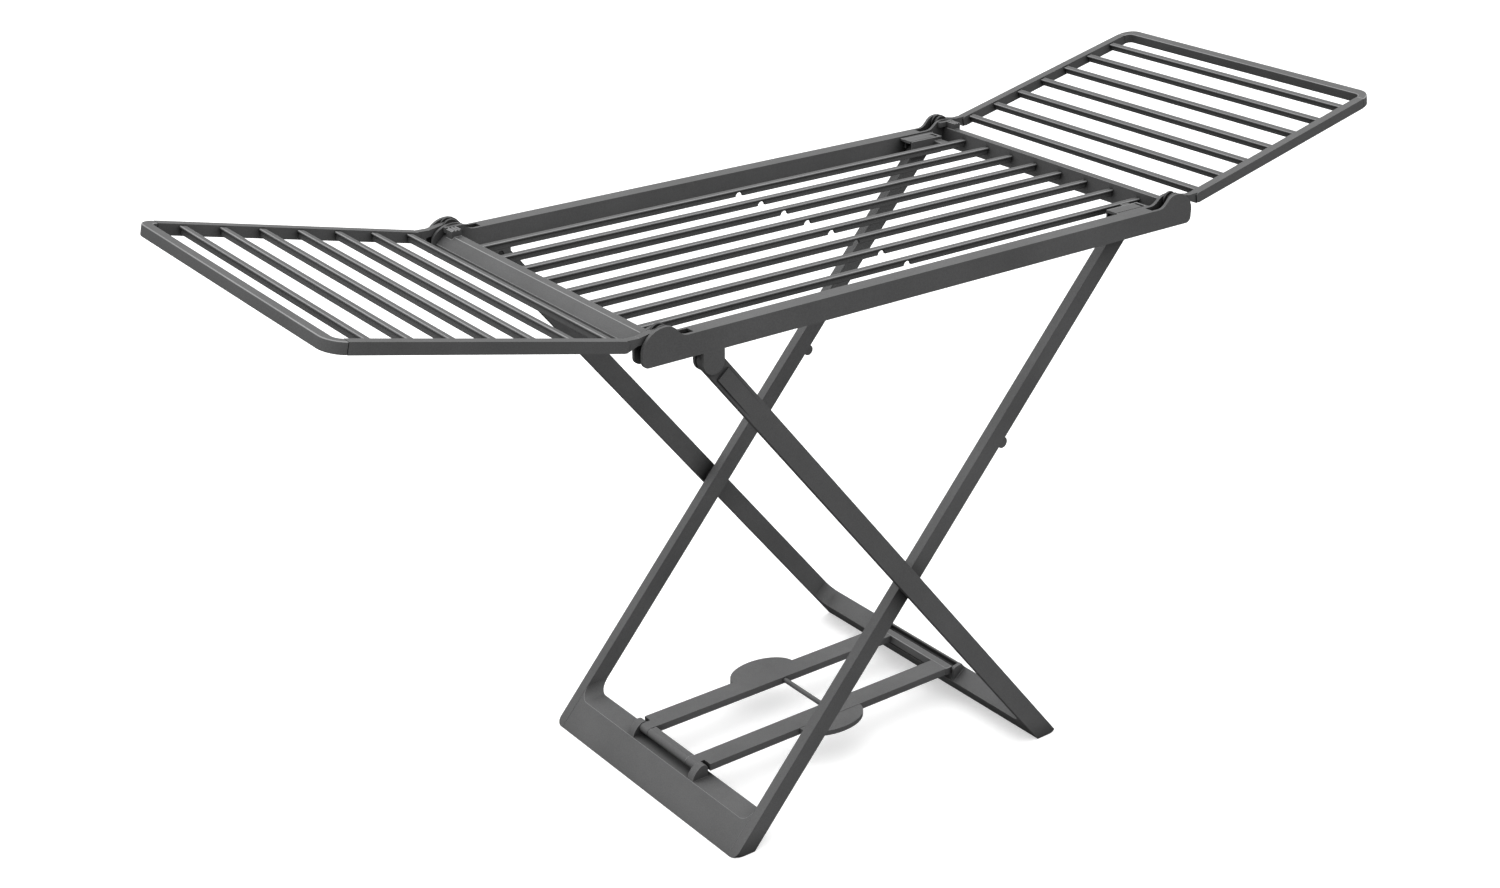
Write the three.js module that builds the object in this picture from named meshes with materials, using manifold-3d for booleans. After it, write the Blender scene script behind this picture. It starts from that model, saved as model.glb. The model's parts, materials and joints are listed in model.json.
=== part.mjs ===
// Winged clothes drying rack, free-standing on a scissor stand. Millimetres, +Z up, floor at z = 0.
// X runs along the rack, Y across it. The drying bed sits between two hinged wings.
import * as THREE from 'three';
import { mergeVertices } from 'three/addons/utils/BufferGeometryUtils.js';
import { ConvexGeometry } from 'three/addons/geometries/ConvexGeometry.js';
import Module from 'manifold-3d';

const wasm = await Module();
wasm.setup();

// ---- driving dimensions ----
const GAP = 0.3;                 // play between neighbouring pieces
const HALF_W = 275;              // bed half width, outer rail face
const WALL = 5;                  // rail wall
const RAIL_IN = 251;             // inner face of a rail
const RAIL_Z0 = 830, RAIL_Z1 = 862;
const RAIL_X = 504;              // rail end
const INNER_RISE = 0.78;         // inner hump height over the outer one
const FLANGE_X = 422;            // top flange runs this far each way
const HINGE_X = 470, HINGE_Z = 868;
const PIN_R = 4, PIN_PLAY = 0.2;
const SKIN = 1.5;                // wall left in front of a blind pin bore
const DISC_R = 13, DISC_OUT = [266, 269.6], DISC_INN = [256.4, 260.6];      // two discs on each wing pin, either side of the arm's eye
const WEB_X0 = 482, WEB_X1 = 488, WEB_TOP = 859.2;            // rest under the wing arm, set back in the rail's mouth
const LUG_X = -393, LUG_Z = 814, LUG_R = 17, LUG_PIN_R = 5;
const BEAM_IN = 469, BEAM_TOP = 864, BEAM_FLAT = 482, BEAM_OUT = 499, BEAM_SLOPE_Z = 851, BEAM_LIP_Z = 846, BEAM_Z0 = 832;
const BAR_TOP = 855, BAR_H = 12, BAR_W = 10, BAR_WEB = 5, BAR_PITCH = 56.4, BAR_COUNT = 8, NOTCH_R = 6.5;
const WING_LEN = 465, WING_ANGLE = 13, WING_TOP = -8.7, WING_H = 16.3;
const WING_RAIL_W = 14, WING_RAIL_Y = 270, WING_TIP_W = 16, WING_ARM_R = 8.5, WING_ARM_LEN = 48;
const WING_BAR_R0 = 66, WING_BAR_PITCH = 56.5, WING_BAR_COUNT = 7, WING_CORNER_R = 26;
const ARM_Y0 = 257.8, ARM_Y1 = 268.2;
const OUT_ANGLE = 50.45, OUT_T = 32, OUT_Y0 = 257.5, OUT_Y1 = 268.5, OUT_BEAM = 48;     // outer leg frame
const IN_ANGLE = 49.54, IN_T = 29, IN_Y0 = 225, IN_Y1 = 242;              // inner leg frame
const IN_FOOT_X = -316.1;        // inner leg centre line at the floor
const IN_CAP_Z = 860, IN_CAP_X = 430;                       // level cut on top of the inner legs, flush with the gusset
const CROSS = [-12.1, 348.3];    // scissor pivot
const CROSS_R = 6;
const NUB_R = 9, NUB_AT = [167, 540];
const SHELF_Z = 42;              // level top of the inner foot beam
const BRACE_TOP = 62, BRACE_T = 12, BRACE_Y0 = 52, BRACE_Y1 = 88;
const AXLE = [-279, 54.5], AXLE_R = 4, BARREL_R = 8;
const TAB_Y0 = 90, TAB_Y1 = 96;                             // tabs on the outer foot beam
const FIN_Y0 = 73, FIN_Y1 = 87, FIN_R = 9.6;                // fins on the inner foot beam
const SEG = 10;

// ---- helpers ----
const rad = (d) => (d * Math.PI) / 180;
const toM = (g) => {
  const p = new THREE.BufferGeometry();
  p.setAttribute('position', g.getAttribute('position').clone());
  if (g.index) p.setIndex(g.index.clone());
  const m = mergeVertices(p, 1e-4);
  return new wasm.Manifold(new wasm.Mesh({ numProp: 3, vertProperties: new Float32Array(m.getAttribute('position').array), triVerts: new Uint32Array(m.index.array) }));
};
const fromM = (man) => {
  const m = man.getMesh();
  const g = new THREE.BufferGeometry();
  g.setAttribute('position', new THREE.BufferAttribute(new Float32Array(m.vertProperties), 3));
  g.setIndex(new THREE.BufferAttribute(new Uint32Array(m.triVerts), 1));
  const n = g.toNonIndexed();
  n.computeVertexNormals();
  return n;
};
const poly = (pts) => {
  const s = new THREE.Shape();
  pts.forEach(([x, y], i) => (i ? s.lineTo(x, y) : s.moveTo(x, y)));
  s.closePath();
  return s;
};
// arc points, angles in degrees
const arc = (cx, cy, r, a0, a1, n = SEG) => {
  const out = [];
  for (let i = 0; i <= n; i++) {
    const a = rad(a0 + ((a1 - a0) * i) / n);
    out.push([cx + r * Math.cos(a), cy + r * Math.sin(a)]);
  }
  return out;
};
const hull2 = (pts) => {
  const p = [...pts].sort((a, b) => a[0] - b[0] || a[1] - b[1]);
  const cr = (o, a, b) => (a[0] - o[0]) * (b[1] - o[1]) - (a[1] - o[1]) * (b[0] - o[0]);
  const half = (list) => {
    const h = [];
    for (const q of list) {
      while (h.length > 1 && cr(h[h.length - 2], h[h.length - 1], q) <= 1e-9) h.pop();
      h.push(q);
    }
    h.pop();
    return h;
  };
  return [...half(p), ...half([...p].reverse())];
};
const extrude = (pts, depth) => new THREE.ExtrudeGeometry(poly(pts), { depth, bevelEnabled: false, steps: 1 });
// outline in (x, z), running from y0 to y1
const slabY = (pts, y0, y1) => toM(extrude(pts, y1 - y0).rotateX(Math.PI / 2).translate(0, y1, 0));
// outline in (x, y), running from z0 to z1
const slabZ = (pts, z0, z1) => toM(extrude(pts, z1 - z0).translate(0, 0, z0));
// outline in (y, z), running from x0 to x1
const slabX = (pts, x0, x1) => toM(extrude(pts, x1 - x0).applyMatrix4(new THREE.Matrix4().makeBasis(new THREE.Vector3(0, 1, 0), new THREE.Vector3(0, 0, 1), new THREE.Vector3(1, 0, 0)).setPosition(x0, 0, 0)));
const box = (x0, x1, y0, y1, z0, z1) => toM(new THREE.BoxGeometry(x1 - x0, y1 - y0, z1 - z0).translate((x0 + x1) / 2, (y0 + y1) / 2, (z0 + z1) / 2));
const rodY = (x, z, r, y0, y1, n = 20) => toM(new THREE.CylinderGeometry(r, r, y1 - y0, n).translate(x, (y0 + y1) / 2, z));
// outline in (y, s) of an inclined plane through origin o, s up the slope at angle a from +X, thickness t
const slabLeg = (pts, o, dir, t) => {
  const s = new THREE.Vector3(dir[0], 0, dir[1]);
  const y = new THREE.Vector3(0, 1, 0);
  const n = new THREE.Vector3().crossVectors(y, s);
  const m = new THREE.Matrix4().makeBasis(y, s, n).setPosition(o[0], 0, o[1]);
  return toM(extrude(pts, t).translate(0, 0, -t / 2).applyMatrix4(m));
};
const FLOOR_CUT = () => box(-1500, 1500, -600, 600, 0, 1500);
const mirrorY = (man) => man.mirror([0, 1, 0]);
const mirrorX = (man) => man.mirror([1, 0, 0]);

// ---- materials ----
const COL = { top: [0x55575a, 0.58], stand: [0x4d4f52, 0.6], pin: [0x3c3e41, 0.5] };
const group = new THREE.Group();
group.name = 'drying_rack';
const put = (name, man, kind) => {
  const [c, r] = COL[kind];
  const mesh = new THREE.Mesh(fromM(man), new THREE.MeshStandardMaterial({ color: c, roughness: r, metalness: 0 }));
  mesh.name = name;
  group.add(mesh);
};

// ---- drying bed: side rails ----
// side outline of a rail wall, with the raised hinge humps and rounded ends; the inner wall's humps are lower
const wallOutline = (rise = 1) => {
  const right = [
    [RAIL_X - 9, RAIL_Z0], ...arc(RAIL_X - 9, RAIL_Z0 + 9, 9, -90, 0, 5).slice(1),
    [RAIL_X, 852], [502.6, 858], [499.8, 863.8], [495.6, 869], [490.4, 873.4], [484.4, 876.8], [477.8, 879], [471, 880],
    [464, 879.6], [458, 877.8], [453, 874.4], [449, 870], [445, 866], [440.5, 863.2], [435, RAIL_Z1],
  ].map(([x, z]) => [x, z > RAIL_Z1 ? RAIL_Z1 + (z - RAIL_Z1) * rise : z]);
  const left = [...right].map(([x, z]) => [-x, z]).reverse();
  return [...right, ...left];
};
const lugOutline = () => [[LUG_X + LUG_R, RAIL_Z0 + 6], [LUG_X - LUG_R, RAIL_Z0 + 6], ...arc(LUG_X, LUG_Z, LUG_R, 180, 360, 16)];
const sideRail = () => {
  const outer = slabY(wallOutline(), -HALF_W, -HALF_W + WALL).add(slabY(lugOutline(), -HALF_W, -HALF_W + WALL));
  const inner = slabY(wallOutline(INNER_RISE), -RAIL_IN - WALL, -RAIL_IN).add(slabY(lugOutline(), -RAIL_IN - WALL, -RAIL_IN));
  const flange = box(-FLANGE_X, FLANGE_X, -HALF_W + 1, -RAIL_IN - 1, RAIL_Z1 - 4, RAIL_Z1);
  let m = outer.add(inner).add(flange);
  for (const s of [-1, 1]) {
    // web inside the mouth, the wing arm comes to rest over it
    m = m.add(s > 0 ? box(WEB_X0, WEB_X1, -HALF_W + 1, -RAIL_IN - 1, RAIL_Z0 + 4, WEB_TOP) : box(-WEB_X1, -WEB_X0, -HALF_W + 1, -RAIL_IN - 1, RAIL_Z0 + 4, WEB_TOP));
    m = m.subtract(rodY(s * HINGE_X, HINGE_Z, PIN_R + PIN_PLAY, -HALF_W + SKIN, -RAIL_IN + 1));
  }
  // cross ribs inside the channel
  for (const x of [-300, -200, -100, 0, 100, 200, 300]) m = m.add(box(x - 1.5, x + 1.5, -HALF_W + 1, -RAIL_IN - 1, RAIL_Z1 - 16, RAIL_Z1 - 1));
  m = m.subtract(rodY(LUG_X, LUG_Z, LUG_PIN_R + PIN_PLAY, -HALF_W + SKIN, -RAIL_IN + 1));
  return m;
};
const rail = sideRail();
put('side_rail_front', rail, 'top');
// the back rail carries a thumb pad on each inner ear
let railBack = mirrorY(rail);
for (const s of [-1, 1]) railBack = railBack.add(s > 0 ? box(456, 486, 243.2, RAIL_IN + 0.3, 866, 874) : box(-486, -456, 243.2, RAIL_IN + 0.3, 866, 874));
put('side_rail_back', railBack, 'top');

// ---- drying bed: end beams, an open-bottomed section with a flat crest, an outward slope and a short outer lip ----
const T4 = 4;
const beamOutline = [
  [BEAM_IN, BEAM_Z0], [BEAM_IN + T4, BEAM_Z0], [BEAM_IN + T4, BEAM_TOP - T4], [BEAM_FLAT - 1, BEAM_TOP - T4],
  [BEAM_OUT - T4, BEAM_SLOPE_Z - 2.4], [BEAM_OUT - T4, BEAM_LIP_Z], [BEAM_OUT, BEAM_LIP_Z], [BEAM_OUT, BEAM_SLOPE_Z],
  [BEAM_FLAT, BEAM_TOP], [BEAM_IN, BEAM_TOP],
];
const endBeam = () => {
  let m = slabY(beamOutline, -RAIL_IN + GAP, RAIL_IN - GAP);
  // ribbed thumb pad at the back end
  m = m.add(box(470, 486, 227, 242.8, BEAM_TOP - 4, 873));
  for (const x of [470, 475.4, 480.8]) m = m.add(box(x, x + 2.4, 227, 242.8, 872.5, 874.4));
  // stiffening webs under the crest
  for (let k = -4; k <= 4; k++) m = m.add(slabY([[BEAM_IN + 1, BEAM_Z0 + 4], [BEAM_OUT - 2, BEAM_LIP_Z + 1], [BEAM_OUT - 2, BEAM_SLOPE_Z - 2], [BEAM_FLAT, BEAM_TOP - 2], [BEAM_IN + 1, BEAM_TOP - 2]], k * BAR_PITCH - 1.5, k * BAR_PITCH + 1.5));
  return m;
};
const beam = endBeam();
put('end_beam_right', beam, 'top');
put('end_beam_left', mirrorX(beam), 'top');

// ---- drying bed: long bars of T section with a small round notch under the middle ----
const barAt = (y) => {
  const L = BEAM_IN - GAP;
  const web = [[-L, BAR_TOP - 2], [-L, BAR_TOP - BAR_H], ...arc(0, BAR_TOP - BAR_H, NOTCH_R, 180, 0, 8), [L, BAR_TOP - BAR_H], [L, BAR_TOP - 2]];
  const top = box(-L, L, y - BAR_W / 2, y + BAR_W / 2, BAR_TOP - 3.5, BAR_TOP);
  return slabY(web, y - BAR_WEB / 2, y + BAR_WEB / 2).add(top);
};
for (let i = 0; i < BAR_COUNT; i++) put(`bed_bar_${i + 1}`, barAt((i - (BAR_COUNT - 1) / 2) * BAR_PITCH), 'top');

// ---- drying bed: corner gussets, a ledge beside the rail with a socket round the top of each inner leg ----
const GUS_Y0 = -RAIL_IN + GAP, GUS_X0 = 374, GUS_X1 = 440, GUS_Z0 = 832;
const gusset = () => {
  const c0 = -IN_Y1 - 0.7, c1 = -IN_Y0 + 0.7;
  // ledge, inner cheek and end wall
  const ledge = slabZ([[GUS_X0, GUS_Y0], [GUS_X1 + 6, GUS_Y0], [GUS_X1, c0], [GUS_X0, c0]], IN_CAP_Z - 4, IN_CAP_Z);
  const rib = slabY([[GUS_X0 + 6, IN_CAP_Z - 2], [GUS_X1 - 1, IN_CAP_Z - 2], [GUS_X1 - 1, GUS_Z0], [GUS_X0 + 20, GUS_Z0], [GUS_X0 + 6, GUS_Z0 + 12]], c0 - 3, c0);
  const cheek = slabY([[GUS_X0 + 1, IN_CAP_Z], [GUS_X1, IN_CAP_Z], [GUS_X1, GUS_Z0], [GUS_X0 + 1, GUS_Z0]], c1, c1 + 3);
  const wall = slabZ([[GUS_X1 - 4, c0 - 3], [GUS_X1, c0 - 3], [GUS_X1, c1 + 3], [GUS_X1 - 4, c1 + 3]], GUS_Z0, IN_CAP_Z);
  const tie = box(424, GUS_X1, c1 + 2, -(3.5 * BAR_PITCH) - BAR_W / 2 - GAP, IN_CAP_Z - 14, IN_CAP_Z - 6);
  return ledge.add(rib).add(cheek).add(wall).add(tie);
};
const gus = gusset();
put('corner_gusset_front', gus, 'top');
put('corner_gusset_back', mirrorY(gus), 'top');

// ---- wing hinge pins, each with two discs that fill the hump, and leg pivot pins; all end in blind bores ----
const hingePin = (x, z, r) => rodY(x, z, r, -HALF_W + SKIN + GAP, -RAIL_IN - 0.6, 20).add(rodY(x, z, DISC_R, -DISC_OUT[1], -DISC_OUT[0], 40)).add(rodY(x, z, DISC_R, -DISC_INN[1], -DISC_INN[0], 40));
for (const [s, side] of [[-1, 'left'], [1, 'right']]) {
  const p = hingePin(s * HINGE_X, HINGE_Z, PIN_R);
  put(`wing_pin_${side}_front`, p, 'pin');
  put(`wing_pin_${side}_back`, mirrorY(p), 'pin');
}
const lugPin = rodY(LUG_X, LUG_Z, LUG_PIN_R, -HALF_W + SKIN + GAP, -RAIL_IN - 0.6, 20);
put('leg_pivot_pin_front', lugPin, 'pin');
put('leg_pivot_pin_back', mirrorY(lugPin), 'pin');

// ---- wings, drawn flat along +r from the hinge axis at the origin, then tipped up and placed ----
const WB = WING_TOP - WING_H;
const wingPlace = (man, s) => {
  let m = man.rotate([0, -WING_ANGLE, 0]).translate([HINGE_X, 0, HINGE_Z]);
  return s > 0 ? m : mirrorX(m);
};
const wingSide = () => {
  // arm lowered towards the knuckle, its underside cut away near the rail's mouth
  const arm = hull2([...arc(0, 0, WING_ARM_R, 0, 345, 22), [30, -3.6], [34, -5], [36, -15.5], [12, -11]]);
  const root = [[28, -4], [WING_ARM_LEN + 4, WING_TOP], [WING_ARM_LEN + 4, WB], [WING_ARM_LEN, WB], [34, -15.5], [28, -14]];
  const a = slabY(arm, -ARM_Y1, -ARM_Y0).add(slabY([...root].reverse(), -ARM_Y1, -ARM_Y0)).subtract(rodY(0, 0, DISC_R + 0.6, -ARM_Y1 - 2, -DISC_OUT[0] + 0.4, 40)).subtract(rodY(0, 0, DISC_R + 0.6, -DISC_INN[1] - 0.4, -ARM_Y0 + 2, 40));
  const tipIn = WING_LEN - WING_CORNER_R - GAP;
  const r = slabY([[WING_ARM_LEN, WB + 2], [WING_ARM_LEN + 4, WB], [tipIn, WB], [tipIn, WING_TOP], [WING_ARM_LEN + 4, WING_TOP], [WING_ARM_LEN, WING_TOP - 2]], -WING_RAIL_Y, -WING_RAIL_Y + WING_RAIL_W);
  return a.add(r).subtract(rodY(0, 0, PIN_R + PIN_PLAY, -ARM_Y1 - 2, -ARM_Y0 + 2));
};
const wingTip = () => {
  const x0 = WING_LEN - WING_CORNER_R, x1 = WING_LEN, yo = WING_RAIL_Y, yi = WING_RAIL_Y - WING_RAIL_W, xi = WING_LEN - WING_TIP_W;
  const ri = WING_CORNER_R - WING_TIP_W;
  const out = [
    [x0, -yo], ...arc(x0, -yo + WING_CORNER_R, WING_CORNER_R, -90, 0, 8).slice(1), ...arc(x0, yo - WING_CORNER_R, WING_CORNER_R, 0, 90, 8), [x0, yi],
    ...arc(xi - ri, yi - ri, ri, 90, 0, 5), ...arc(xi - ri, -yi + ri, ri, 0, -90, 5), [x0, -yi],
  ];
  return slabZ(out, WB, WING_TOP);
};
const wingBar = (r) => box(r - 5, r + 5, -WING_RAIL_Y + WING_RAIL_W + GAP, WING_RAIL_Y - WING_RAIL_W - GAP, WING_TOP - 5.5, WING_TOP - 2)
  .add(box(r - 2.5, r + 2.5, -WING_RAIL_Y + WING_RAIL_W + GAP, WING_RAIL_Y - WING_RAIL_W - GAP, WING_TOP - 14, WING_TOP - 4));
for (const [s, side] of [[-1, 'left'], [1, 'right']]) {
  const sd = wingSide();
  put(`wing_${side}_rail_front`, wingPlace(sd, s), 'top');
  put(`wing_${side}_rail_back`, mirrorY(wingPlace(sd, s)), 'top');
  put(`wing_${side}_tip`, wingPlace(wingTip(), s), 'top');
  for (let i = 0; i < WING_BAR_COUNT; i++) put(`wing_${side}_bar_${i + 1}`, wingPlace(wingBar(WING_BAR_R0 + i * WING_BAR_PITCH), s), 'top');
}

// ---- outer leg frame, leaning from the lugs down to the right ----
const dO = [-Math.cos(rad(OUT_ANGLE)), Math.sin(rad(OUT_ANGLE))];
const oO = [LUG_X + (LUG_Z / dO[1]) * -dO[0], 0];           // centre line at the floor
const sO = -OUT_T / 2 * Math.abs(dO[0]) / dO[1];            // lowest point along the slope
const sLug = LUG_Z / dO[1];                                 // lug pivot along the slope
const outLeg = () => {
  const p = [[-OUT_Y0, sO], ...arc(-OUT_Y1 + 10, sO + 10, 10, -90, -180, 5), [-OUT_Y1, sLug], [-OUT_Y0, sLug]];
  let m = slabLeg(p, oO, dO, OUT_T).intersect(FLOOR_CUT());
  m = m.add(rodY(LUG_X, LUG_Z, OUT_T / 2, -OUT_Y1, -OUT_Y0, 32));
  // shoulder under the lug, fading into the leg
  const nO = [dO[1], -dO[0]];
  const sh = (s, n, y) => new THREE.Vector3(LUG_X - dO[0] * s + nO[0] * n, y, LUG_Z - dO[1] * s + nO[1] * n);
  const w = [];
  for (const n of [-11.5, 10.5]) w.push(sh(27.5, n, -OUT_Y1 + 1), sh(27.5, n, -OUT_Y1 - 3.2), sh(120, n, -OUT_Y1 + 1), sh(120, n, -OUT_Y1));
  m = m.add(toM(new ConvexGeometry(w)));
  m = m.subtract(rodY(LUG_X, LUG_Z, LUG_PIN_R + PIN_PLAY, -OUT_Y1 - 2, -OUT_Y0 + 2));
  return m.subtract(rodY(CROSS[0], CROSS[1], CROSS_R + PIN_PLAY, -OUT_Y1 + 2.5, -OUT_Y0 + 2));
};
const ol = outLeg();
put('outer_leg_front', ol, 'stand');
put('outer_leg_back', mirrorY(ol), 'stand');
const fillet = (half, s0, s1, r) => [[-half, s0], [half, s0], [half, s1 + r], ...arc(half - r, s1 + r, r, 0, -90, 6).slice(1), ...arc(-half + r, s1 + r, r, -90, -180, 6)];
const shelfO = OUT_BEAM - sO;                               // slope height of the foot beam's shelf
const outBeam = () => {
  let m = slabLeg(fillet(OUT_Y0 - GAP, sO, shelfO, 20), oO, dO, OUT_T).intersect(FLOOR_CUT());
  // trough for the brace end: low front wall, raised back lip, two end tabs
  const nO = [dO[1], -dO[0]];
  const at = (s, n) => [oO[0] + dO[0] * s + nO[0] * n, dO[1] * s + nO[1] * n];
  m = m.add(slabY([at(shelfO - 6, 9), at(shelfO - 6, 15.5), at(shelfO + 9, 15.5), at(shelfO + 9, 12.5), at(shelfO + 1, 9)], -TAB_Y1, TAB_Y1));
  for (const s of [-1, 1]) {
    const tab = hull2([at(shelfO - 6, -14), at(shelfO - 6, 15.5), at(shelfO + 12, 15.5), ...arc(...at(shelfO + 13, 2), 6, 0, 330, 11)]);
    m = m.add(s > 0 ? slabY(tab, TAB_Y0, TAB_Y1) : slabY(tab, -TAB_Y1, -TAB_Y0));
  }
  return m;
};
put('outer_foot_beam', outBeam(), 'stand');

// ---- inner leg frame, leaning from the left foot up to the right ----
const dI = [Math.cos(rad(IN_ANGLE)), Math.sin(rad(IN_ANGLE))];
const oI = [IN_FOOT_X, 0];
const sI = -IN_T / 2 * dI[0] / dI[1];
const nI = [dI[1], -dI[0]];                                 // lower right side
const atI = (s, n) => [oI[0] + dI[0] * s + nI[0] * n, dI[1] * s + nI[1] * n];
const sCap = (IN_CAP_X - IN_FOOT_X) * dI[0] + IN_CAP_Z * dI[1];
const inLeg = () => {
  const p = [[-IN_Y0, sI], ...arc(-IN_Y1 + 13, sI + 13, 13, -90, -180, 6), [-IN_Y1, sCap], [-IN_Y0, sCap]];
  let m = slabLeg(p, oI, dI, IN_T).intersect(box(-1500, 1500, -600, 600, 0, IN_CAP_Z));
  // cap plate on top, reaching past the leg's upper face
  m = m.add(box(GUS_X0, IN_CAP_X - 6, -IN_Y1, -IN_Y0, IN_CAP_Z - 4, IN_CAP_Z));
  m = m.add(rodY(NUB_AT[0], NUB_AT[1], NUB_R, -IN_Y1 + 1, -IN_Y0 - 1, 24));
  return m.subtract(rodY(CROSS[0], CROSS[1], CROSS_R + PIN_PLAY, -IN_Y1 - 2, -IN_Y0 - 4));
};
const il = inLeg();
put('inner_leg_front', il, 'stand');
put('inner_leg_back', mirrorY(il), 'stand');
const inBeam = () => {
  // inclined plate cut level at the shelf, with fillets up the legs
  const h = IN_Y0 - GAP;
  let m = slabLeg([[-h, sI], [h, sI], [h, 130], [-h, 130]], oI, dI, IN_T).intersect(FLOOR_CUT());
  m = m.intersect(slabX(fillet(h, 0, SHELF_Z, 18), -450, 50));
  // fins that carry the brace's axle, rising from the shelf's front edge
  const xf = IN_FOOT_X - IN_T / 2 / dI[1] + SHELF_Z * dI[0] / dI[1];
  for (const s of [-1, 1]) {
    const fin = hull2([[xf + 1, SHELF_Z - 3], [xf + 0.8, SHELF_Z + 1], [xf + 3, SHELF_Z + 8], [xf + 8, SHELF_Z + 15], ...arc(AXLE[0], AXLE[1], FIN_R, 0, 345, 23), [AXLE[0] + FIN_R - 1, SHELF_Z - 3]]);
    m = m.add(s > 0 ? slabY(fin, FIN_Y0, FIN_Y1) : slabY(fin, -FIN_Y1, -FIN_Y0));
  }
  return m.subtract(rodY(AXLE[0], AXLE[1], AXLE_R + PIN_PLAY, -FIN_Y1 + 3, FIN_Y1 - 3));
};
put('inner_foot_beam', inBeam(), 'stand');
const crossPin = rodY(CROSS[0], CROSS[1], CROSS_R, -OUT_Y1 + 3, -IN_Y0 - 4.5, 24).add(rodY(CROSS[0], CROSS[1], 11, -OUT_Y0 + 0.4, -IN_Y1 - 0.4, 24));
put('cross_pin_front', crossPin, 'pin');
put('cross_pin_back', mirrorY(crossPin), 'pin');

// ---- floor brace: flat ladder with two half-round ears, turning on an axle on the inner foot beam ----
const BZ0 = BRACE_TOP - BRACE_T;
const BX0 = -262, BX1 = 217, ROD_R = 4.2;
const braceRail = () => {
  const prof = hull2([...arc(AXLE[0], AXLE[1], BARREL_R, 0, 345, 23), [BX0, BRACE_TOP], [BX0, BZ0]]);
  let m = slabY(prof, -FIN_Y0 + 0.5, -BRACE_Y0).add(box(BX0 - 4, BX1, -BRACE_Y1, -BRACE_Y0, BZ0, BRACE_TOP));
  const ear = [];
  for (let i = 0; i <= 18; i++) { const a = Math.PI + (Math.PI * i) / 18; ear.push([-30 + 62 * Math.cos(a), -BRACE_Y1 + 2 + 40 * Math.sin(a)]); }
  m = m.add(slabZ(ear, BZ0 + 3, BRACE_TOP - 0.5));
  m = m.subtract(rodY(AXLE[0], AXLE[1], FIN_R + 1.6, -BRACE_Y1 - 2, -FIN_Y0 + 0.5, 24));
  m = m.subtract(rodY(AXLE[0], AXLE[1], AXLE_R + PIN_PLAY, -BRACE_Y1 - 2, -BRACE_Y0 + 2));
  return m.subtract(rodY(-12, BZ0 + 6, ROD_R + 0.3, -BRACE_Y0 - 8, -BRACE_Y0 + 2, 16));
};
const br = braceRail();
put('brace_rail_front', br, 'stand');
put('brace_rail_back', mirrorY(br), 'stand');
const barrel = rodY(AXLE[0], AXLE[1], BARREL_R, -BRACE_Y0 + GAP, BRACE_Y0 - GAP, 28).add(box(AXLE[0], AXLE[0] + BARREL_R + 1.5, -BRACE_Y0 + GAP, BRACE_Y0 - GAP, BZ0 + 1, BRACE_TOP));
put('brace_crossbar_left', barrel.subtract(rodY(AXLE[0], AXLE[1], AXLE_R + PIN_PLAY, -BRACE_Y0 - 2, BRACE_Y0 + 2)), 'stand');
put('brace_crossbar_right', box(BX1 + GAP, BX1 + 15, -BRACE_Y1, BRACE_Y1, BZ0 - 2, BRACE_TOP), 'stand');
put('brace_rod', rodY(-12, BZ0 + 6, ROD_R, -BRACE_Y0 - 7, BRACE_Y0 + 7, 20), 'stand');
put('brace_axle', rodY(AXLE[0], AXLE[1], AXLE_R, -FIN_Y1 + 3.5, FIN_Y1 - 3.5, 20), 'pin');

export default group;
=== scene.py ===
import json
import math
import bpy
from mathutils import Matrix, Vector

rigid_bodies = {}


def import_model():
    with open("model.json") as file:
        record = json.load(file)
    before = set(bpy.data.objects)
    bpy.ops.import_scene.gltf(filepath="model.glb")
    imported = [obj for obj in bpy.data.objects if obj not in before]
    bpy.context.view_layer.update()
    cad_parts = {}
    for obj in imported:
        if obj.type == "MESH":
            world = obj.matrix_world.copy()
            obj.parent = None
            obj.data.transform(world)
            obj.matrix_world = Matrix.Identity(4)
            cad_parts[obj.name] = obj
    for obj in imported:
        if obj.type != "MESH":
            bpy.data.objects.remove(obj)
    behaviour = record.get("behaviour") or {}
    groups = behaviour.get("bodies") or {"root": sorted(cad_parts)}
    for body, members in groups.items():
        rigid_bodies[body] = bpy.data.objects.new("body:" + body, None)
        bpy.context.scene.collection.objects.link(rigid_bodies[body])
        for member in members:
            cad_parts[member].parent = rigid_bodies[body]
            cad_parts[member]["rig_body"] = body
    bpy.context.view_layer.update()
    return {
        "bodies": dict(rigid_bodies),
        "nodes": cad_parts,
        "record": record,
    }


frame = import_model()
NODES, BODIES, RECORD = frame["nodes"], frame["bodies"], frame["record"]
SC = bpy.context.scene


# ---------------------------------------------------------------- camera
cam_data = bpy.data.cameras.new("camera")
cam = bpy.data.objects.new("camera", cam_data)
SC.collection.objects.link(cam)
cam_data.sensor_width = 36.0
cam_data.lens = 51.74
cam_data.shift_x, cam_data.shift_y = -0.0312, 0.0181
cam_data.clip_start, cam_data.clip_end = 0.05, 200.0
YAW, PITCH, ROLL = 0.8964, 0.4325, 0.0146
ahead = Vector((math.cos(PITCH) * math.cos(YAW), math.cos(PITCH) * math.sin(YAW), -math.sin(PITCH)))
level = Vector((math.sin(YAW), -math.cos(YAW), 0.0))
over = level.cross(ahead)
right = level * math.cos(ROLL) + over * math.sin(ROLL)
up = over * math.cos(ROLL) - level * math.sin(ROLL)
cam.location = (-1.9189, -2.3569, 1.8521)
cam.rotation_mode = "QUATERNION"
cam.rotation_quaternion = Matrix((right, up, -ahead)).transposed().to_quaternion()
SC.camera = cam


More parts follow.
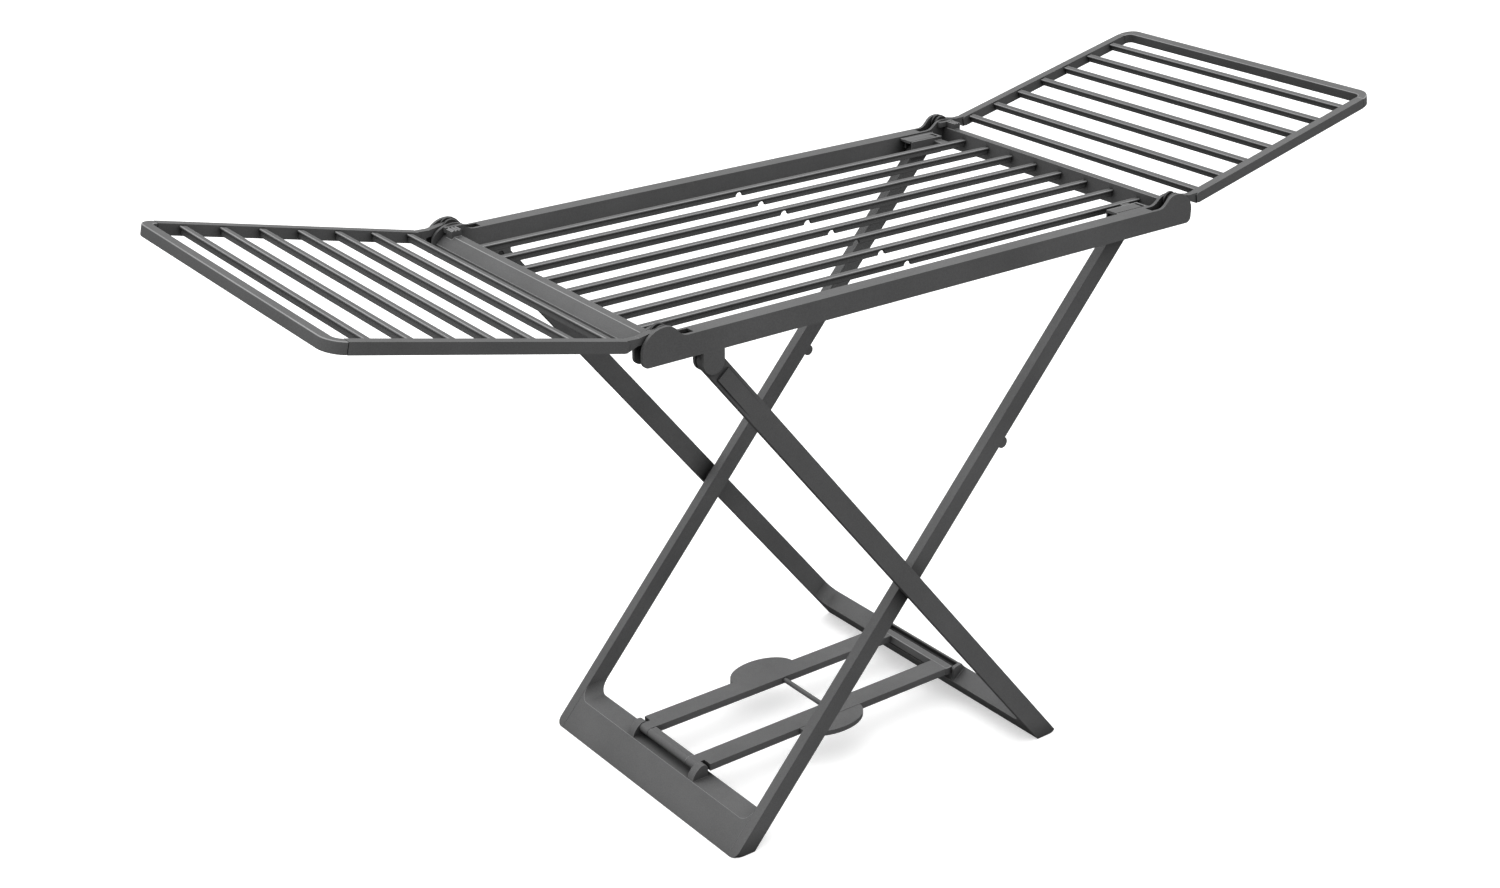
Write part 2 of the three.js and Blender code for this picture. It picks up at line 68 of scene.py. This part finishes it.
# ---------------------------------------------------------------- node helpers
class Net:
    def __init__(self, tree):
        self.t = tree
        self.t.nodes.clear()

    def add(self, kind, **kw):
        n = self.t.nodes.new(kind)
        for k, v in kw.items():
            if k in ("inputs",):
                for name, val in v.items():
                    n.inputs[name].default_value = val
            else:
                setattr(n, k, v)
        return n

    def link(self, a, b):
        self.t.links.new(a, b)


def ramp(net, src, stops, interp="LINEAR"):
    n = net.add("ShaderNodeValToRGB")
    n.color_ramp.interpolation = interp
    els = n.color_ramp.elements
    while len(els) > 1:
        els.remove(els[-1])
    els[0].position, els[0].color = stops[0][0], (*stops[0][1], 1)
    for p, c in stops[1:]:
        e = els.new(p)
        e.color = (*c, 1)
    net.link(src, n.inputs["Fac"])
    return n.outputs["Color"]


def grey(v, tint=(1.0, 1.0, 1.0)):
    return tuple(v * t for t in tint)


def plastic(name, base, tint=(1.0, 1.005, 1.012), rough=0.5, seed=0.0, edge_highlight=False, spec=0.42):
    """Moulded plastic: cloudy tone, fine spark-eroded grain, uneven gloss, fine scuffs, and painted shade in recesses
    and on downward faces. The edge switch makes the copy for the bevelled arris, painted lighter as a painted
    highlight, with rubbed scuffs.
    """
    m = bpy.data.materials.new(name)
    m.use_nodes = True
    net = Net(m.node_tree)
    out = net.add("ShaderNodeOutputMaterial")
    bsdf = net.add("ShaderNodeBsdfPrincipled")
    bsdf.inputs["Specular IOR Level"].default_value = spec
    bsdf.inputs["IOR"].default_value = 1.49
    bsdf.inputs["Metallic"].default_value = 0.0
    net.link(bsdf.outputs[0], out.inputs["Surface"])
    tc = net.add("ShaderNodeTexCoord")
    mp = net.add("ShaderNodeMapping")
    mp.inputs["Location"].default_value = (seed, seed * 1.7, seed * 0.6)
    net.link(tc.outputs["Object"], mp.inputs["Vector"])
    co = mp.outputs["Vector"]
    # slow cloud in the colour, as regranulated plastic has
    cloud = net.add("ShaderNodeTexNoise")
    cloud.inputs["Scale"].default_value = 9.0
    cloud.inputs["Detail"].default_value = 4.0
    cloud.inputs["Roughness"].default_value = 0.55
    net.link(co, cloud.inputs["Vector"])
    # moulded grain
    grain = net.add("ShaderNodeTexNoise")
    grain.inputs["Scale"].default_value = 620.0
    grain.inputs["Detail"].default_value = 3.0
    grain.inputs["Roughness"].default_value = 0.6
    net.link(co, grain.inputs["Vector"])
    # handling marks: sparse short scuffs
    scuff = net.add("ShaderNodeTexNoise")
    scuff.inputs["Scale"].default_value = 46.0
    scuff.inputs["Detail"].default_value = 6.0
    scuff.inputs["Roughness"].default_value = 0.72
    scuff.inputs["Distortion"].default_value = 0.6
    net.link(co, scuff.inputs["Vector"])
    # the edge copy is painted two to three times lighter: a painted highlight along the arrises
    lo, hi = (base * 0.9, base * 1.1) if not edge_highlight else (base * 2.2, base * 3.1)
    tone = ramp(net, cloud.outputs["Fac"], [(0.28, grey(lo, tint)), (0.72, grey(hi, tint))])
    fleck = ramp(net, grain.outputs["Fac"], [(0.30, grey(0.86)), (0.52, grey(1.0)), (0.78, grey(1.16))])
    mul = net.add("ShaderNodeMix", data_type="RGBA", blend_type="MULTIPLY")
    mul.inputs["Factor"].default_value = 1.0
    net.link(tone, mul.inputs[6])
    net.link(fleck, mul.inputs[7])
    mark = ramp(net, scuff.outputs["Fac"], [(0.60, (0, 0, 0)), (0.74, (1, 1, 1))])
    mark_w = net.add("ShaderNodeMath", operation="MULTIPLY")
    mark_w.inputs[1].default_value = 0.45 if edge_highlight else 0.12
    net.link(mark, mark_w.inputs[0])
    mixc = net.add("ShaderNodeMix", data_type="RGBA", blend_type="MIX")
    net.link(mark_w.outputs[0], mixc.inputs["Factor"])
    net.link(mul.outputs[2], mixc.inputs[6])
    mixc.inputs[7].default_value = (*grey(base * (2.4 if edge_highlight else 1.9), tint), 1)
    # painted shade in the recesses: ambient occlusion darkens the base colour where parts crowd each other
    ao = net.add("ShaderNodeAmbientOcclusion", samples=8, only_local=False)
    ao.inputs["Distance"].default_value = 0.045
    shade = ramp(net, ao.outputs["AO"], [(0.2, grey(0.14)), (0.6, grey(0.50)), (0.96, grey(1.0))])
    painted_recess_shade = net.add("ShaderNodeMix", data_type="RGBA", blend_type="MULTIPLY")
    painted_recess_shade.inputs["Factor"].default_value = 1.0
    net.link(mixc.outputs[2], painted_recess_shade.inputs[6])
    net.link(shade, painted_recess_shade.inputs[7])
    # painted shade by facing: downward faces (object-space normal) are painted darker and upward ones lighter, as
    # light falls from above
    xyz = net.add("ShaderNodeSeparateXYZ")
    net.link(tc.outputs["Normal"], xyz.inputs[0])
    nz = net.add("ShaderNodeMapRange")
    nz.inputs["From Min"].default_value, nz.inputs["From Max"].default_value = -1.0, 1.0
    net.link(xyz.outputs["Z"], nz.inputs["Value"])
    low = 0.16 if edge_highlight else 0.45
    mid = 0.36 if edge_highlight else 1.0
    painted_facing_shade = ramp(net, nz.outputs["Result"], [(0.10, grey(low)), (0.46, grey(mid)), (0.60, grey(mid if edge_highlight else 1.0)), (0.72, grey(1.0))])
    out_c = net.add("ShaderNodeMix", data_type="RGBA", blend_type="MULTIPLY")
    out_c.inputs["Factor"].default_value = 1.0
    net.link(painted_recess_shade.outputs[2], out_c.inputs[6])
    net.link(painted_facing_shade, out_c.inputs[7])
    net.link(out_c.outputs[2], bsdf.inputs["Base Color"])
    # gloss: rubbed patches shine a little more
    r = net.add("ShaderNodeMapRange")
    r.inputs["From Min"].default_value, r.inputs["From Max"].default_value = 0.3, 0.7
    r.inputs["To Min"].default_value, r.inputs["To Max"].default_value = rough - 0.07, rough + 0.09
    net.link(scuff.outputs["Fac"], r.inputs["Value"])
    net.link(r.outputs["Result"], bsdf.inputs["Roughness"])
    # relief: grain and a faint sink waviness
    b1 = net.add("ShaderNodeBump")
    b1.inputs["Strength"].default_value = 0.22
    b1.inputs["Distance"].default_value = 0.0004
    net.link(grain.outputs["Fac"], b1.inputs["Height"])
    b2 = net.add("ShaderNodeBump")
    b2.inputs["Strength"].default_value = 0.25
    b2.inputs["Distance"].default_value = 0.0015
    net.link(cloud.outputs["Fac"], b2.inputs["Height"])
    net.link(b1.outputs["Normal"], b2.inputs["Normal"])
    net.link(b2.outputs["Normal"], bsdf.inputs["Normal"])
    return m


# each slot: the base plastic, and a lighter copy for the bevels that carries a painted edge highlight
MATS = {
    "bed_plastic": (plastic("bed_plastic", 0.112, seed=0.0), plastic("bed_plastic_edge_highlight", 0.112, seed=3.1, edge_highlight=True)),
    "wing_plastic": (plastic("wing_plastic", 0.110, seed=7.3), plastic("wing_plastic_edge_highlight", 0.110, seed=9.4, edge_highlight=True)),
    "stand_plastic": (plastic("stand_plastic", 0.114, seed=13.7, rough=0.52), plastic("stand_plastic_edge_highlight", 0.096, seed=17.2, edge_highlight=True)),
    "pin_plastic": (plastic("pin_plastic", 0.040, seed=21.9, rough=0.45), plastic("pin_plastic_edge_highlight", 0.034, seed=23.0, edge_highlight=True)),
}


def slot_of(node):
    for m in RECORD.get("materials", []):
        if node in (m.get("nodes") or []):
            return m.get("slot")
    b = NODES[node]["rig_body"]
    if "pin" in node or "axle" in node:
        return "pin_plastic"
    return {"bed": "bed_plastic", "wing_left": "wing_plastic", "wing_right": "wing_plastic"}.get(b, "stand_plastic")


# ---------------------------------------------------------------- moulded edges on the CAD nodes
def smooth_group():
    """Geometry nodes: shade smooth, so that the bevel's own normals carry the rounding."""
    g = bpy.data.node_groups.new("shade_smooth", "GeometryNodeTree")
    g.interface.new_socket("Geometry", in_out="INPUT", socket_type="NodeSocketGeometry")
    g.interface.new_socket("Geometry", in_out="OUTPUT", socket_type="NodeSocketGeometry")
    a = g.nodes.new("NodeGroupInput")
    z = g.nodes.new("NodeGroupOutput")
    s = g.nodes.new("GeometryNodeSetShadeSmooth")
    g.links.new(a.outputs[0], s.inputs[0])
    g.links.new(s.outputs[0], z.inputs[0])
    return g


SMOOTH = smooth_group()
KEEP_TRIS = ("outer_foot_beam",)
WIDTH = {"bed": 0.0013, "wing_left": 0.0013, "wing_right": 0.0013}
for name, ob in NODES.items():
    mats = MATS[slot_of(name)]
    ob.data.materials.clear()
    for mt in mats:
        ob.data.materials.append(mt)
    w = ob.modifiers.new("weld", "WELD")
    w.merge_threshold = 0.00002
    if name not in KEEP_TRIS:
        d = ob.modifiers.new("faces", "DECIMATE")
        d.decimate_type = "DISSOLVE"
        d.angle_limit = math.radians(0.6)
    b = ob.modifiers.new("arris", "BEVEL")
    b.width = WIDTH.get(ob["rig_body"], 0.0014)
    b.segments = 2
    b.limit_method = "ANGLE"
    b.angle_limit = math.radians(28)
    # bevel faces take the second slot, the painted edge highlight material
    b.material = 1
    b.use_clamp_overlap = True
    b.miter_outer = "MITER_ARC"
    s = ob.modifiers.new("smooth", "NODES")
    s.node_group = SMOOTH
    n = ob.modifiers.new("normals", "WEIGHTED_NORMAL")
    n.keep_sharp = False
    n.weight = 100


# ---------------------------------------------------------------- floor and light
def floor():
    me = bpy.data.meshes.new("floor")
    s = 60.0
    me.from_pydata([(-s, -s, 0), (s, -s, 0), (s, s, 0), (-s, s, 0)], [], [(0, 1, 2, 3)])
    ob = bpy.data.objects.new("floor", me)
    SC.collection.objects.link(ob)
    ob.location.z = -0.0004
    m = bpy.data.materials.new("floor_paint")
    m.use_nodes = True
    bs = m.node_tree.nodes["Principled BSDF"]
    bs.inputs["Base Color"].default_value = (0.80, 0.80, 0.80, 1)
    bs.inputs["Roughness"].default_value = 0.9
    bs.inputs["Specular IOR Level"].default_value = 0.15
    bs.inputs["Emission Color"].default_value = (1.0, 1.0, 1.0, 1)
    bs.inputs["Emission Strength"].default_value = 0.45
    me.materials.append(m)
    ob.visible_diffuse = False
    ob.visible_glossy = False
    return ob


floor()

world = bpy.data.worlds.new("studio")
SC.world = world
world.use_nodes = True
wn = Net(world.node_tree)
wo = wn.add("ShaderNodeOutputWorld")
bg = wn.add("ShaderNodeBackground")
wn.link(bg.outputs[0], wo.inputs["Surface"])
wt = wn.add("ShaderNodeTexCoord")
ws = wn.add("ShaderNodeSeparateXYZ")
wn.link(wt.outputs["Generated"], ws.inputs[0])
wr = wn.add("ShaderNodeMapRange")
wr.inputs["From Min"].default_value, wr.inputs["From Max"].default_value = -1.0, 1.0
wn.link(ws.outputs["Z"], wr.inputs["Value"])
wc = ramp(wn, wr.outputs["Result"], [(0.0, grey(0.10)), (0.40, grey(0.26)), (0.52, grey(0.50)), (0.72, grey(0.72)), (0.88, grey(1.3)), (1.0, grey(1.6))])
wn.link(wc, bg.inputs["Color"])
bg.inputs["Strength"].default_value = 1.0


sun = bpy.data.lights.new("soft_key", "SUN")
sun.angle = math.radians(75)
sun.energy = 0.72
key = bpy.data.objects.new("soft_key", sun)
SC.collection.objects.link(key)
key.rotation_mode = "QUATERNION"
key.rotation_quaternion = Vector((0.50, 0.08, -1.0)).to_track_quat("-Z", "Y")

SC.view_settings.view_transform = "Standard"
SC.view_settings.look = "None"
SC.view_settings.exposure = 0.0
SC.view_settings.gamma = 1.0

# ---------------------------------------------------------------- update
bpy.context.view_layer.update()
